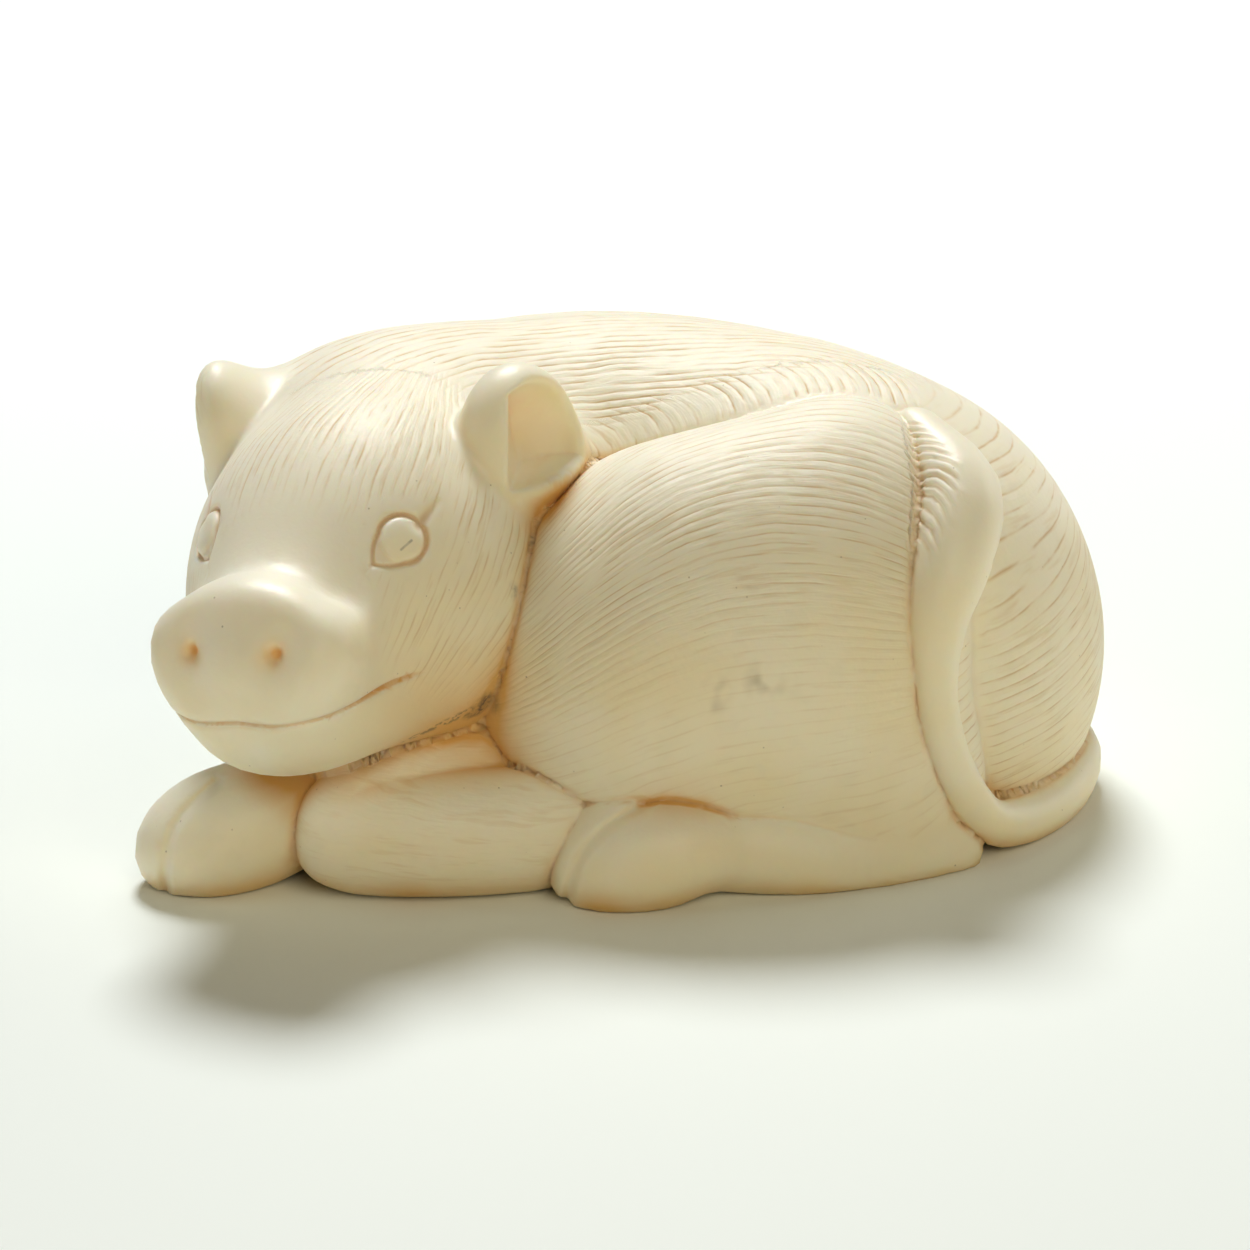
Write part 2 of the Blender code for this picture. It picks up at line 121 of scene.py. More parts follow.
# The head is described round its own centre: forward to the snout, to the pig's
# side (the same on both sides) and up.
headForm = {
    "centre": (-15.0, -6.7, 17.5),
    "turn": (0.0, -6.0, -23.3),
    "skull": ((-1.0, 0.0, 0.4), (10.6, 10.0, 9.8), (0, 0, 0)),
    "forehead": ((3.5, 0.0, 1.8), (7.0, 7.4, 6.4), (0, 0, 0)),
    "cheek": ((0.5, 4.4, -3.4), (8.8, 6.0, 6.6), (0, 0, 0)),
    "muzzlePath": [
        (2.0, 0.0, -0.4, 8.4), (8.0, 0.0, -1.2, 6.8), (12.0, 0.0, -1.4, 5.6), (15.0, 0.0, -1.2, 4.7),
    ],
    "snout": ((16.6, 0.0, -0.2), (1.7, 6.0, 4.2), (0, -6, 0)),
    "snoutRounding": 1.3,
    "snoutBlends": (1.4, 4.0),  # on top and low on its sides
    "jaw": ((10.8, 0.0, -5.2), (6.9, 5.9, 3.5), (0, 4, 0)),
    "blends": {"forehead": 4.0, "cheek": 4.0, "muzzlePath": 4.0, "jaw": 3.0},
    "earBlend": 0.8,
    "nearEar": ((-2.9, 9.0, 6.7), (3.1, 4.2, 5.0), (6, 0, 70)),
    "farEar": ((-2.6, 9.6, 6.7), (2.2, 3.8, 5.1), (6, 14, 76)),
    # the ear's hollow: shift and size as shares of the ear, a straight front wall, a floor
    "hollowShift": (0.7, -0.12, 0.04),
    "hollowSize": (1.0, 0.98, 0.784),
    "hollowFront": ((0.714, 0.676, -0.173), -0.67),
    "hollowFloor": -1.7,
    "hollowEdges": (0.25, 0.8),  # how rounded its edge is at the front wall and elsewhere
}
faceCuts = {
    "eye": (8.1, 6.1, 4.1),
    "eyeAlong": (-0.62, 0.60, 0.50),  # from its inner to its outer corner
    "eyeRound": 1.46,
    "eyePoint": 2.4,  # how far its inner corner is from its middle
    "eyeBulge": 0.13,
    "eyeRim": 0.19,
    "eyeDepth": 0.26,
    "eyeBall": 1.36,
    "eyeRise": 0.20,
    "cornerLine": 2.1,
    "cornerDepth": 0.8,  # as a share of the eye's
    "tearLine": 2.6,
    "tearDepth": 0.10,
    "mouthWidth": 0.16,
    "mouthDepth": 0.26,
    "mouthLine": (-3.62, -0.15, 0.25, 6.4),  # its height, sag, rise at the end and half width
    "mouthFront": (9.2, 11.0),  # how far forward it fades in
    "nostril": (18.4, 2.65, 0.4),
    "nostrilRadius": 0.42,
    "nostrilDepth": 0.48,
    "bowlRadius": 1.0,
    "bowlDepth": 0.12,
}


def turnMatrix(degrees):
    made = np.eye(3)
    for axis, angle in enumerate(degrees):
        c, s = math.cos(math.radians(angle)), math.sin(math.radians(angle))
        i, j = (axis + 1) % 3, (axis + 2) % 3
        turn = np.eye(3)
        turn[i, i], turn[i, j], turn[j, i], turn[j, j] = c, -s, s, c
        made = turn @ made
    return made


def ball(points, centre, halfAxes, turn=(0, 0, 0)):
    local = (points - centre) @ turnMatrix(turn)
    axes = np.array(halfAxes)
    near = np.sqrt((local**2 / axes**2).sum(axis=1))
    steep = np.sqrt((local**2 / axes**4).sum(axis=1))
    return near * (near - 1.0) / np.maximum(steep, 1e-6)


def disc(points, centre, halfAxes, rounding, turn=(0, 0, 0)):
    local = (points - centre) @ turnMatrix(turn)
    thick, wide, high = halfAxes
    near = np.hypot(local[:, 1] / wide, local[:, 2] / high)
    steep = np.hypot(local[:, 1] / wide**2, local[:, 2] / high**2)
    outside = near * (near - 1.0) / np.maximum(steep, 1e-6) + rounding
    dome = 0.5 * np.minimum(near, 1.3) ** 2
    behind = np.abs(local[:, 0] + dome) - thick + rounding
    reach = np.hypot(np.maximum(outside, 0), np.maximum(behind, 0))
    return reach + np.minimum(np.maximum(outside, behind), 0) - rounding


def smoothPath(path, steps):
    knots = np.array(path, float)
    knots = np.vstack([2 * knots[0] - knots[1], knots, 2 * knots[-1] - knots[-2]])
    made = []
    for i in range(1, len(knots) - 2):
        p0, p1, p2, p3 = knots[i - 1 : i + 3]
        for step in range(steps):
            t = step / steps
            bend = 2 * p1 + (p2 - p0) * t + (2 * p0 - 5 * p1 + 4 * p2 - p3) * t * t
            made.append(0.5 * (bend + (3 * p1 - p0 - 3 * p2 + p3) * t**3))
    made.append(knots[-2])
    return np.array(made)


def limb(points, path, steps=3, reach=5.0):
    # far from the limb the distance to its box is near enough
    knots = smoothPath(path, steps)
    low = (knots[:, :3] - knots[:, 3:]).min(axis=0)
    high = (knots[:, :3] + knots[:, 3:]).max(axis=0)
    best = np.linalg.norm(np.maximum(np.maximum(low - points, points - high), 0), axis=1)
    close = best < reach
    part = points[close]
    exact = np.full(len(part), 1e6)
    for start, end in zip(knots, knots[1:]):
        along = end[:3] - start[:3]
        length = np.linalg.norm(along)
        taper = (start[3] - end[3]) / length
        away = part - start[:3]
        run = away @ along / length
        offAxis = np.sqrt(np.maximum((away * away).sum(axis=1) - run * run, 0))
        lean = taper / math.sqrt(max(1.0 - taper * taper, 0.05))
        share = np.clip((run - offAxis * lean) / length, 0.0, 1.0)
        gap = np.hypot(offAxis, run - share * length)
        exact = np.minimum(exact, gap - start[3] + share * (start[3] - end[3]))
    best[close] = exact
    return best


def merge(a, b, blend):
    near = np.maximum(blend - np.abs(a - b), 0.0) / blend
    return np.minimum(a, b) - near * near * blend / 4


def carve(a, b, blend):
    return -merge(-a, b, blend)


def gather(points, form, made, blends="blends"):
    # merges the lumps and paths that a form lists with their blends into what is made so far
    for name, blend in form[blends].items():
        path = isinstance(form[name], list)
        made = merge(made, limb(points, form[name]) if path else ball(points, *form[name]), blend)
    return made


def bell(value, width):
    return np.exp(-((value / width) ** 2))


def setOff(a, b):
    # joins two parts with a crease and a thin seam between them
    crease = bodyForm["creaseDepth"] * bell(a - b, bodyForm["creaseWidth"])
    seam = bodyForm["seamDepth"] * bell(a - b, bodyForm["seamWidth"])
    return merge(a, b, bodyForm["seamBlend"]) + crease + seam


def ease(low, high, value):
    t = np.clip((value - low) / (high - low), 0.0, 1.0)
    return t * t * (3 - 2 * t)


headCentre = np.array(headForm["centre"])
headAxes = np.array([[0, -1, 0], [1, 0, 0], [0, 0, 1]]) @ turnMatrix(headForm["turn"]).T


def inHead(points):
    return (points - headCentre) @ headAxes.T


def folded(local):
    both = local.copy()
    both[:, 1] = np.abs(both[:, 1])
    return both


def ear(local, shape):
    centre, halfAxes, turn = shape
    shift = turnMatrix(turn) @ (np.array(headForm["hollowShift"]) * halfAxes)
    size = np.array(headForm["hollowSize"]) * halfAxes
    hollow = ball(local, centre + shift, size, turn)
    place = (local - centre) @ turnMatrix(turn)
    way, start = headForm["hollowFront"]
    fromWall = place @ np.array(way) - start
    hollow = np.maximum(hollow, -fromWall)
    hollow = np.maximum(hollow, headForm["hollowFloor"] - place[:, 2])
    sharp, soft = headForm["hollowEdges"]
    return carve(ball(local, *shape), hollow, sharp + (soft - sharp) * ease(0.3, 1.5, fromWall))


def eyePlane(local):
    # the eye's own plane: run from inner to outer corner, across, and height off it
    eye = np.array(faceCuts["eye"])
    out = eye / np.linalg.norm(eye)
    along = np.array(faceCuts["eyeAlong"]) - np.dot(faceCuts["eyeAlong"], out) * out
    along /= np.linalg.norm(along)
    away = local - eye
    return away @ along, away @ np.cross(out, along), away @ out


def lineCut(run, across, start, end, width):
    # a short engraved line in a plane, thinning to nothing at its far end
    start, end = np.array(start), np.array(end)
    along = end - start
    share = ((run - start[0]) * along[0] + (across - start[1]) * along[1]) / (along @ along)
    share = np.clip(share, 0.0, 1.0)
    gap = np.hypot(run - start[0] - share * along[0], across - start[1] - share * along[1])
    return (1 - share) ** 0.5 * bell(gap, width * (1 - 0.5 * share))


def faceLines(local):
    # each cut of the face between 0 and 1, and the rise of the eyeball
    run, across, height = eyePlane(local)
    roundness, point = faceCuts["eyeRound"], faceCuts["eyePoint"]
    taper = roundness / point
    share = -run - np.abs(across) * taper / math.sqrt(1 - taper * taper)
    share = np.clip(share / point, 0.0, 1.0)
    rim = np.hypot(across, run + share * point) - roundness * (1 - share)
    rim = rim - faceCuts["eyeBulge"] * np.sin(math.pi * share)
    near = bell(height, 2.0)
    ring = np.hypot(run, across)
    inside = 0.5 * ease(0.2, -0.1, rim) * ease(faceCuts["eyeBall"] - 0.1, faceCuts["eyeBall"] + 0.2, ring)
    eye = near * np.maximum(bell(rim, faceCuts["eyeRim"]), inside)
    outer, inner = (1.35, 0.0), (0.1 - point, 0.0)
    corner = lineCut(run, across, outer, (outer[0] + faceCuts["cornerLine"], 0.35), 0.40)
    tear = lineCut(run, across, inner, (inner[0] - faceCuts["tearLine"], -0.15), 0.16)
    rise = near * (1 - np.clip(ring / faceCuts["eyeBall"], 0, 1) ** 3)
    level, sag, lift, halfWidth = faceCuts["mouthLine"]
    side = np.minimum(local[:, 1], halfWidth)
    line = level + sag * np.sin(np.clip(side / halfWidth, 0, 1) * math.pi)
    line = line + lift * (side / halfWidth) ** 2
    lips = ease(*faceCuts["mouthFront"], local[:, 0])
    mouth = lips * bell(local[:, 2] - line, faceCuts["mouthWidth"])
    nostril = faceCuts["nostril"]
    away = np.hypot(local[:, 1] - nostril[1], local[:, 2] - nostril[2])
    front = local[:, 0] > nostril[0] - 3.0
    pit = front * bell(away, faceCuts["nostrilRadius"])
    bowl = front * bell(away, faceCuts["bowlRadius"])
    return {
        "eye": eye,
        "corner": near * corner,
        "tear": near * tear,
        "rise": rise,
        "mouth": mouth,
        "pit": pit,
        "bowl": bowl,
        "rimSides": (rim, near),
        "mouthSides": (local[:, 2] - line, lips),
    }


def head(points):
    away = np.linalg.norm(points - headCentre, axis=1) - 20.0
    made = np.maximum(away, 5.0)
    close = away < 6.0
    signed = inHead(points[close])
    local = folded(signed)
    part = gather(local, headForm, ball(local, *headForm["skull"]))
    centre, halfAxes, turn = headForm["snout"]
    top, sides = headForm["snoutBlends"]
    blend = top + (sides - top) * ease(2.6, 6.0, local[:, 1] - 0.6 * (local[:, 2] - 1.0))
    part = merge(part, disc(local, centre, halfAxes, headForm["snoutRounding"], turn), blend)
    cuts = faceLines(local)
    eye = np.maximum(cuts["eye"], faceCuts["cornerDepth"] * cuts["corner"])
    part = part + faceCuts["eyeDepth"] * eye
    part = part + faceCuts["tearDepth"] * cuts["tear"] - faceCuts["eyeRise"] * cuts["rise"]
    part = part + faceCuts["mouthDepth"] * cuts["mouth"]
    part = part + faceCuts["nostrilDepth"] * cuts["pit"] + faceCuts["bowlDepth"] * cuts["bowl"]
    ears = np.where(signed[:, 1] > 0, ear(local, headForm["nearEar"]), ear(local, headForm["farEar"]))
    made[close] = merge(part, ears, headForm["earBlend"])
    return made


def cleft(points, path, side):
    # 1 along a line over the hoof, fading on both sides; its height over the hoof counts little
    facing = np.array(footForm["cleftFacing"]) * np.array([1.0, side, 1.0])
    flat = points - 0.9 * np.outer(points @ facing, facing)
    line = path - 0.9 * np.outer(path @ facing, facing)
    gap = limb(flat, np.column_stack([line, np.zeros(len(line))]), 2, 2.0)
    return bell(gap, footForm["cleftWidth"])


# The cloven feet: path and steps to a knot, what is merged in, the cleft and the side it looks to
feet = {
    "foot": ("nearHindPath", 3, "hindBlends", "hindCleft", 1.0),
    "fore": ("forwardPath", 3, "foreBlends", "foreCleft", 1.0),
    "farFoot": ("farHindPath", 2, "farBlends", "farCleft", -1.0),
}


def clovenFoot(points, name):
    path, steps, blends, line, side = feet[name]
    foot = gather(points, footForm, limb(points, footForm[path], steps), blends)
    return foot + footForm["cleftDepth"] * cleft(points, footForm[line], side)


def partsOf(points):
    # the distance of every point to each part of the figure, in units
    return {
        "body": gather(points, bodyForm, limb(points, bodyForm["trunkPath"])),
        "head": head(points),
        "farHaunch": ball(points, *bodyForm["farHaunch"]),
        "farFoot": clovenFoot(points, "farFoot"),
        "fore": clovenFoot(points, "fore"),
        "folded": limb(points, footForm["foldedPath"]),
        "haunch": gather(points, haunchForm, ball(points, *haunchForm["thigh"])),
        "foot": clovenFoot(points, "foot"),
        "tail": limb(points, tailForm["path"]),
    }


def skinOf(points, parts=None, seams=None):
    # seams, if given, is filled with the two sides of each seam
    parts = parts or partsOf(points)
    seams = {} if seams is None else seams

    def join(name, a, b):
        seams[name] = (a, b)
        return setOff(a, b)

    figure = merge(parts["body"], parts["head"], bodyForm["headBlend"])
    figure = join("farHaunchSeam", figure, parts["farHaunch"])
    figure = join("farFootSeam", figure, parts["farFoot"])
    figure = join("foldedSeam", figure, join("foreSeam", parts["fore"], parts["folded"]))
    foot, thigh = parts["foot"], parts["haunch"]
    seams["footSeam"] = (foot, thigh)
    end, length = footForm["heelFade"]
    fade = np.clip((end - points[:, 0]) / length, 0.0, 1.0)
    crease = fade * bell(foot - thigh, bodyForm["creaseWidth"])
    heelDepth = bodyForm["creaseDepth"] * footForm["heelCrease"]
    leg = merge(thigh, foot, footForm["heelBlend"]) + heelDepth * crease
    figure = join("haunchSeam", figure, leg)
    figure = join("tailSeam", figure, parts["tail"])
    seat = pose["stand"][2] - points[:, 2]
    return -merge(-figure, -seat, pose["seatRounding"])


def slopeOf(points, here):
    slope = np.empty_like(points)
    for axis in range(3):
        moved = points.copy()
        moved[:, axis] += 0.02
        slope[:, axis] = (skinOf(moved) - here) / 0.02
    return slope


def outwardOf(points, here):
    slope = slopeOf(points, here)
    return slope / np.maximum(np.linalg.norm(slope, axis=1), 1e-6)[:, None]


def unevenness(points, size, seed):
    # soft and repeatable, about between -1 and 1
    dice = np.random.default_rng(seed)
    waves = dice.normal(size=(7, 3)) / size
    shift = dice.uniform(0, 2 * math.pi, 7)
    return np.sin(points @ waves.T + shift).mean(axis=1) * 1.8


def alongTail(points):
    # arc length down the tail, place across it (1 at its left edge) and distance off it
    knots = smoothPath(tailForm["path"], 3)
    runs = np.concatenate([[0], np.cumsum(np.linalg.norm(np.diff(knots[:, :3], axis=0), axis=1))])
    down = np.zeros(len(points))
    left = np.zeros(len(points))
    best = np.full(len(points), 1e6)
    for k in range(len(knots) - 1):
        start, along = knots[k, :3], knots[k + 1, :3] - knots[k, :3]
        length = np.linalg.norm(along)
        share = np.clip((points - start) @ along / length**2, 0.0, 1.0)
        offset = points - start - share[:, None] * along
        gap = np.linalg.norm(offset, axis=1)
        outward = start - np.array(tailForm["inside"])
        toLeft = np.cross(along / length, outward / np.linalg.norm(outward))
        nearer = gap < best
        radius = knots[k, 3] + share * (knots[k + 1, 3] - knots[k, 3])
        down[nearer] = (runs[k] + share * length)[nearer]
        left[nearer] = (offset @ toLeft / radius)[nearer]
        best[nearer] = gap[nearer]
    return down, left, best


# The engraved coat. Pitch and depth in units, the share of a pitch that a stroke takes up on
# each side, how readily strokes break off (0 never, 1 often) and how dark the stain in them is.
hairRows = {
    "back": (0.48, 0.070, 0.20, 0.40, 1.25),
    "hooks": (0.74, 0.075, 0.16, 0.45, 1.25),
    "haunch": (0.56, 0.038, 0.14, 0.42, 1.0),
    "rump": (0.74, 0.050, 0.13, 0.35, 1.0),
    "farFlank": (2.20, 0.060, 0.16, 0.40, 1.0),
    "farHaunch": (1.30, 0.060, 0.16, 0.40, 1.0),
    "head": (0.60, 0.050, 0.19, 0.50, 1.0),
    "knee": (0.62, 0.030, 0.18, 0.80, 0.4),
    "fringe": (0.88, 0.170, 0.32, 0.0, 0.6),
}
hairColumns = ["pitch", "depth", "half", "breaks", "stain"]
hairStyle = {name: dict(zip(hairColumns, row)) for name, row in hairRows.items()}
hairFlow = {
    "hookReach": 3.0,  # height over the haunch at which the back's strokes turn down
    "hookBend": 0.25,
    "backTilt": 0.25,
    "haunchAxis": (-8.0, 11.4),  # y and z of the axis that the haunch's strokes run along
    "haunchReach": 12.5,
    "haunchFall": (13.0, 1.6, 2.5),  # where they start to fall to the left, how far, how sharply
    "fineFrom": 12.0,
    "wideTo": 1.0,
    "widePitch": 0.96,
    "farHub": (20.0, -4.0),  # x and z of the place that the far haunch's strokes run round
    "farPole": (6.0, 13.0),  # y and z of the axis that the far flank's strokes spread from
    "farReach": 14.0,
    "headTilt": 40.0,
    "headReach": 10.5,
    "wander": 0.22,
}


def inOrder(parts):
    # row 0 is the distance to the nearest part, row 1 to the next, and so on
    return np.sort(np.array(list(parts.values())), axis=0)


def hairOf(points, parts):
    # phase (one to a stroke) and strength of each stretch of the coat
    x, y, z = points.T
    order = inOrder(parts)

    def margin(name):
        own = parts[name]
        return np.where(own <= order[0] + 1e-9, order[1] - order[0], order[0] - own)

    def pitch(name):
        return hairStyle[name]["pitch"]

    wander = hairFlow["wander"] * (unevenness(points, 1.5, 3) + 0.5 * unevenness(points, 0.6, 4))
    tail = np.array(tailForm["path"][tailForm["downTo"] :: -1])
    behind = ease(-0.8, 0.8, x - np.interp(z, tail[:, 2], tail[:, 0]))
    above = ease(0.8, 2.2, z)
    local = inHead(points)
    both = folded(local)
    offEar = ease(0.15, 1.2, ear(both, headForm["nearEar"]))
    coat = {}

    over = np.maximum(parts["haunch"], 0)
    bodyShare = ease(-2.5, 2.5, parts["head"] - parts["body"])
    byHead = 3.0 * (parts["head"] < parts["farHaunch"]) * (1 - bodyShare)
    strength = ease(-0.3, 0.05, margin("body") + byHead) * bodyShare * above * offEar
    farther = ease(7.5, 10.5, y - 0.12 * x)
    pole = hairFlow["farPole"]
    phase = np.arctan2(z - pole[1], y - pole[0]) * hairFlow["farReach"] / pitch("farFlank")
    offPole = ease(3.0, 7.0, np.hypot(z - pole[1], y - pole[0]))
    coat["farFlank"] = (phase + wander, strength * farther * offPole)
    strength = strength * (1 - 0.85 * behind) * (1 - farther)
    reach = hairFlow["hookReach"]
    phase = (over + hairFlow["backTilt"] * x) / pitch("back")
    coat["back"] = (phase + wander, strength * ease(0.45 * reach, 0.95 * reach, over))
    phase = (x + hairFlow["hookBend"] * over**2) / pitch("hooks")
    hooked = ease(1.15 * reach, 0.75 * reach, over) * ease(0.02, 0.3, over) * ease(-6.0, -3.0, x)
    coat["hooks"] = (phase + 0.5 * wander, strength * hooked)

    axis = hairFlow["haunchAxis"]
    start, fall, sharp = hairFlow["haunchFall"]
    arc = np.arctan2(z - axis[1], axis[0] - y) * hairFlow["haunchReach"]
    arc = arc + fall * (np.maximum(start - x, 0) / 10.0) ** sharp
    steps = np.linspace(-40, 60, 1001)
    fine = ease(hairFlow["wideTo"], hairFlow["fineFrom"], steps)
    density = 1.0 / (hairFlow["widePitch"] + (pitch("haunch") - hairFlow["widePitch"]) * fine)
    counted = np.cumsum(density * 0.1)
    phase = np.interp(arc, steps, counted)
    strength = ease(0.0, 0.5, margin("haunch")) * (1 - behind) * ease(2.0, 5.0, z + 0.25 * x)
    strength = strength * ease(-12.5, -6.0, x - 0.15 * z) * (0.45 + 0.55 * ease(4.0, 12.0, arc))
    coat["haunch"] = (phase + 0.5 * wander, strength)

    lean = 0.3 * ease(22.0, 14.0, z)
    phase = (z - lean * y) / pitch("rump")
    strength = np.maximum(ease(0.0, 0.5, margin("body")), ease(0.0, 0.5, margin("haunch")))
    strength = strength * behind * ease(0.6, 2.4, z) * ease(27.5, 24.0, z) * ease(13.0, 8.0, y)
    coat["rump"] = (phase + 0.4 * wander, strength)

    hub = hairFlow["farHub"]
    phase = np.hypot(x - hub[0], z - hub[1]) / pitch("farHaunch")
    strength = ease(0.0, 0.6, margin("farHaunch")) * above
    coat["farHaunch"] = (phase + wander, strength)

    tilt = math.radians(hairFlow["headTilt"])
    forward, side, up = local.T
    axial = up * math.cos(tilt) + forward * math.sin(tilt)
    phase = np.arctan2(side, axial) * hairFlow["headReach"] / pitch("head")
    offEye = ease(2.3, 3.1, np.linalg.norm(both - np.array(faceCuts["eye"]), axis=1))
    atNape = (bodyShare > 0) * (bodyShare < 1) * (parts["body"] < order[0] + 3.0)
    strength = ease(0.0, 0.6, np.minimum(margin("head"), 3.0) + 3.0 * atNape)
    strength = strength * (1 - bodyShare) * offEar * offEye
    strength = strength * ease(13.5, 10.5, forward + 0.35 * np.abs(up + 1.0))
    strength = strength * ease(-6.5, -3.0, up + 0.25 * np.abs(side) - 0.2 * forward)
    strength = strength * (0.85 + 0.15 * ease(2.0, 9.0, up - 0.25 * forward))
    coat["head"] = (phase + 0.8 * wander, strength)

    phase = (z + 0.12 * x) / pitch("knee")
    strength = 0.8 * ease(0.0, 0.6, margin("folded")) * above
    coat["knee"] = (phase + wander, strength)

    down, left, gap = alongTail(points)
    phase = (down + tailForm["tuftSlant"] * left) / pitch("fringe")
    width = 0.36 + 0.2 * ease(5.0, 12.0, down)
    strength = ease(width, width + 0.3, left) * ease(0.2, 1.0, down)
    strength = strength * ease(tailForm["tuftEnd"], tailForm["tuftEnd"] - 4, down)
    strength = strength * (parts["tail"] < 0.6)
    coat["fringe"] = (phase, strength)
    return coat


def linesOf(points, parts):
    # for each sharp line, how far a place is to one side of it, and where the line is on the skin
    seams = {}
    skinOf(points, parts, seams)
    cuts = faceLines(folded(inHead(points)))
    onHead = parts["head"] < 0.5
    lines = {"rim": (cuts["rimSides"][0], onHead * cuts["rimSides"][1])}
    lines["lips"] = (cuts["mouthSides"][0], onHead * cuts["mouthSides"][1])
    for name, (a, b) in seams.items():
        lines[name] = (a - b, ease(0.9, 0.5, np.maximum(np.abs(a), np.abs(b))))
    beforeHeel = points[:, 0] < footForm["heelFade"][0]
    lines["footSeam"] = (lines["footSeam"][0], lines["footSeam"][1] * beforeHeel)
    return {name: (np.clip(side, -0.5, 0.5), real) for name, (side, real) in lines.items()}


def pullOntoSkin(points, rounds):
    for _ in range(rounds):
        here = skinOf(points)
        slope = slopeOf(points, here)
        steep = np.maximum((slope * slope).sum(axis=1), 0.3)
        points = points - slope * (np.clip(here, -0.5, 0.5) / steep)[:, None]
    return points


def evenOut(points, faces, amount):
    ends = faces[:, [[0, 1], [1, 2], [2, 0]]].reshape(-1, 2)
    both = np.concatenate([ends, ends[:, ::-1]])
    shared = np.bincount(both[:, 0], minlength=len(points))
    around = np.empty_like(points)
    for axis in range(3):
        around[:, axis] = np.bincount(both[:, 0], points[both[:, 1], axis], len(points)) / shared
    return points + amount * (around - points)


def splitFaces(rows, faces, touched, choose):
    # puts a point on each chosen edge of the touched faces and divides them to match
    part = faces[touched]
    ends = np.sort(part[:, [[0, 1], [1, 2], [2, 0]]].reshape(-1, 2), axis=1)
    keys = ends[:, 0].astype(np.int64) * len(rows) + ends[:, 1]
    _, first, which = np.unique(keys, return_index=True, return_inverse=True)
    a, b = ends[first].T
    wanted, share = choose(a, b, which)
    place = np.full(len(first), -1)
    place[wanted] = len(rows) + np.arange(np.count_nonzero(wanted))
    a, b, share = a[wanted], b[wanted], share[wanted, None]
    rows = np.vstack([rows, rows[a] + share * (rows[b] - rows[a])])
    middle = place[which].reshape(-1, 3)
    count = (middle >= 0).sum(axis=1)
    made = [faces[~touched], part[count == 0]]

    def corners(*ends):
        return np.column_stack(ends)

    f, m = part[count == 1], middle[count == 1]
    turn = (np.argmax(m >= 0, axis=1)[:, None] + [0, 1, 2]) % 3
    (f0, f1, f2), m0 = np.take_along_axis(f, turn, 1).T, m.max(axis=1)
    made += [corners(f0, m0, f2), corners(m0, f1, f2)]

    f, m = part[count == 2], middle[count == 2]
    turn = (np.argmin(m >= 0, axis=1)[:, None] + [1, 2, 0]) % 3
    f0, f1, f2 = np.take_along_axis(f, turn, 1).T
    m0, m1, _ = np.take_along_axis(m, turn, 1).T
    made.append(corners(m0, f1, m1))
    short = ((rows[f0, :3] - rows[m1, :3]) ** 2).sum(axis=1)
    short = short < ((rows[m0, :3] - rows[f2, :3]) ** 2).sum(axis=1)
    made += [corners(f0, m0, m1)[short], corners(f0, m1, f2)[short]]
    made += [corners(f0, m0, f2)[~short], corners(m0, m1, f2)[~short]]

    (f0, f1, f2), (m0, m1, m2) = part[count == 3].T, middle[count == 3].T
    made += [corners(f0, m0, m2), corners(m0, f1, m1), corners(m2, m1, f2), corners(m0, m1, m2)]
    return rows, np.vstack(made)


def refine(points, faces, longest):
    # halves edges that are longer than the work there allows
    def choose(a, b, which):
        length = np.linalg.norm(points[a] - points[b], axis=1)
        return length > longest((points[a] + points[b]) / 2), np.full(len(a), 0.5)

    return splitFaces(points, faces, np.ones(len(faces), bool), choose)


def engrave(rows, faces, column, offsets, stride, snap):
    # runs edges along every place where a column is a whole number plus one of the offsets;
    # a pass takes every stride-th of them, so that no face has to be cut twice in one pass
    tiny = 1e-6
    for offset in offsets:
        for first in range(stride):
            base = offset + first
            nearest = base + stride * np.round((rows[:, column] - base) / stride)
            on = np.abs(rows[:, column] - nearest) < snap
            rows[on, column] = nearest[on]
            phase = rows[faces, column]
            low, high = phase.min(axis=1), phase.max(axis=1)
            level = base + stride * np.floor((high - tiny - base) / stride)
            touched = low < level - tiny
            worked = rows[faces[touched], column + 1].max(axis=1) > surfaceWork["worked"]
            worked = worked & ((high - low)[touched] < surfaceWork["strokeStep"])

            def choose(a, b, which):
                top = np.maximum(rows[a, column], rows[b, column])
                level = base + stride * np.floor((top - tiny - base) / stride)
                crossed = np.minimum(rows[a, column], rows[b, column]) < level - tiny
                wanted = crossed & (np.bincount(which, np.repeat(worked, 3)) > 0)
                gap = rows[b, column] - rows[a, column]
                return wanted, (level - rows[a, column]) / np.where(np.abs(gap) < tiny, 1.0, gap)

            rows, faces = splitFaces(rows, faces, touched, choose)
    return rows, faces


surfaceWork = {
    "shelterReach": 9.0,
    "shelterRays": 24,
    "rayTurn": 2.39996,  # the golden angle, from ray to ray
    "voxel": 0.00042,
    "evenings": (0.5, 0.5, 0.4, 0.3, 0.3, 0.0),  # how much each round of smoothing takes off
    "kept": 8500,  # triangles left before the fine work
    "farEdge": 2.1,  # longest edges, in units: far side, near side, creases, ears, clefts, face
    "nearEdge": 1.4,
    "creaseEdge": 0.9,
    "earEdge": 0.44,
    "cleftEdge": 0.28,
    "faceEdge": 0.17,
    "lipEdge": 0.3,
    "lineSteps": (-0.16, 0.0, 0.16),  # where edges run beside a sharp line
    "seamHalf": 0.14,  # half width of the stain in a seam
    "strokeStep": 4,  # every fourth stroke is cut in one pass
    "worked": 0.27,  # how strong a stroke has to be to get edges of its own
    "strokeShift": (7.3, 3.1, 5.7),  # from stroke to stroke through the unevenness
}


